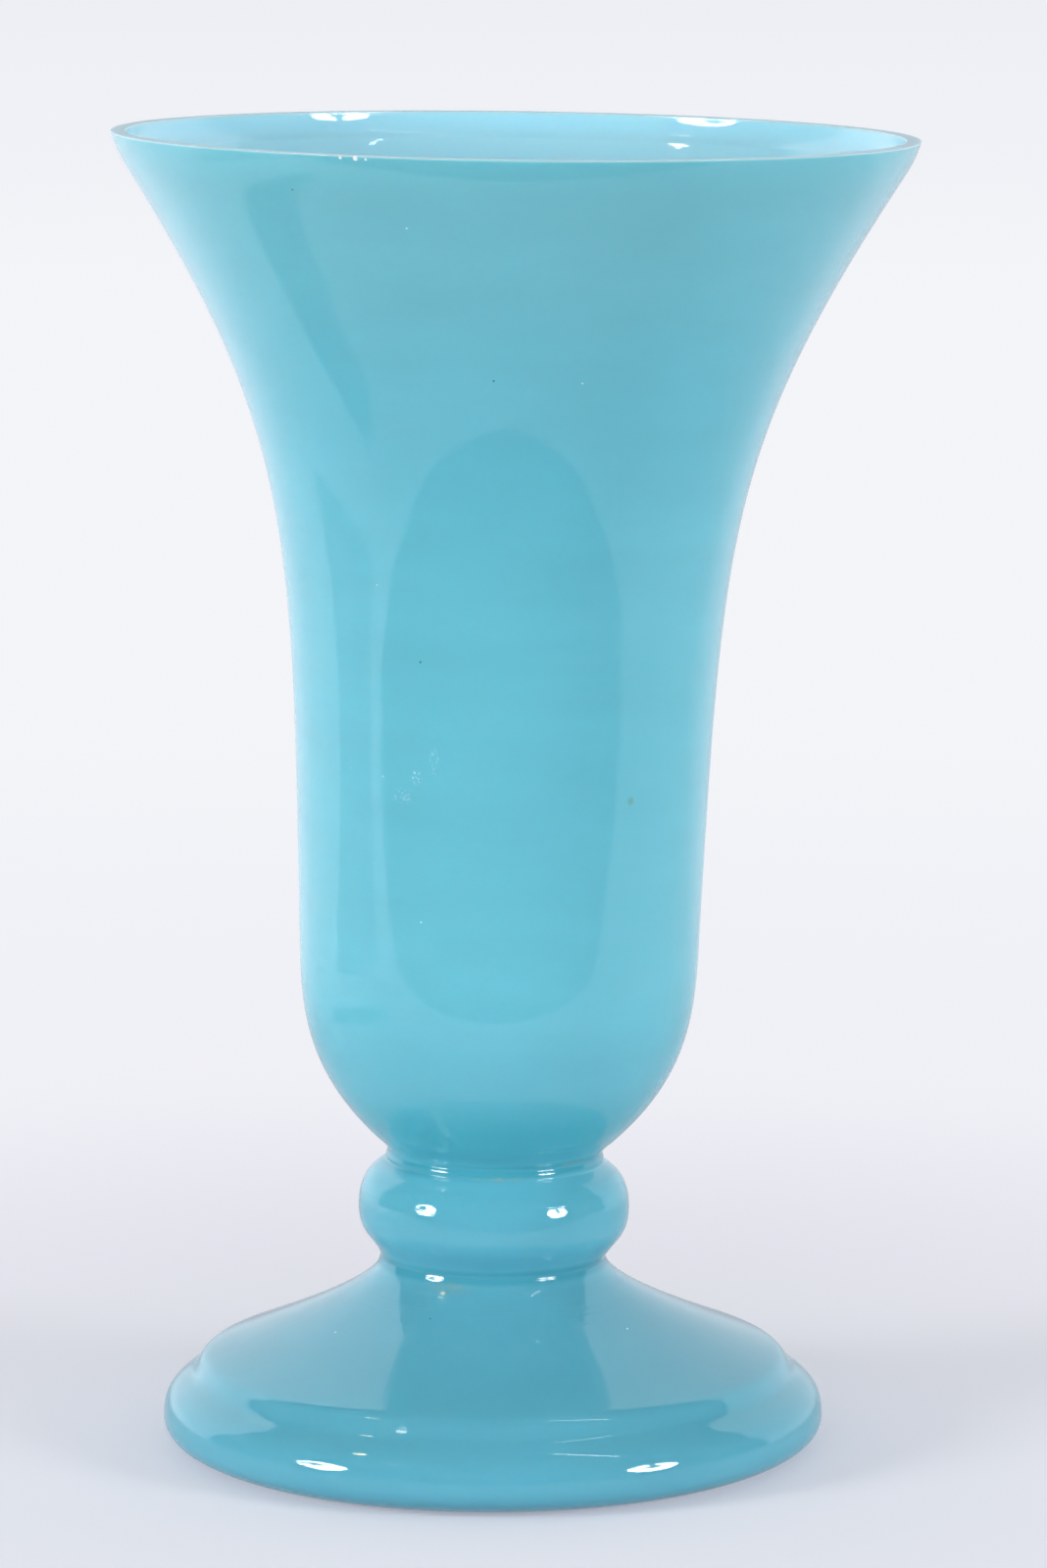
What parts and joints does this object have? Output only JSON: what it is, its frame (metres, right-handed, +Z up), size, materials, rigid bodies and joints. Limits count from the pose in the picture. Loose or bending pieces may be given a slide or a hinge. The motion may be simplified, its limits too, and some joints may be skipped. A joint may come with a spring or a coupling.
{
  "type": "vase",
  "caption": "Footed trumpet vase in turquoise opaline glass, with a knop stem and a domed foot that is hollow underneath.",
  "frame": {"origin": "on the table, at the middle of the foot's ground ring", "axes": "+Z up, the picture's viewer looks along +Y, and the stem and bowl lean 1.2 degrees towards +X"},
  "size_m": [0.1814, 0.1814, 0.3019],
  "materials": {
    "opaline_glass": "glossy"
  },
  "bodies": {
    "root": {"foot": "opaline_glass", "knop": "opaline_glass", "joining_wafer": "opaline_glass", "bowl": "opaline_glass"}
  },
  "joints": []
}
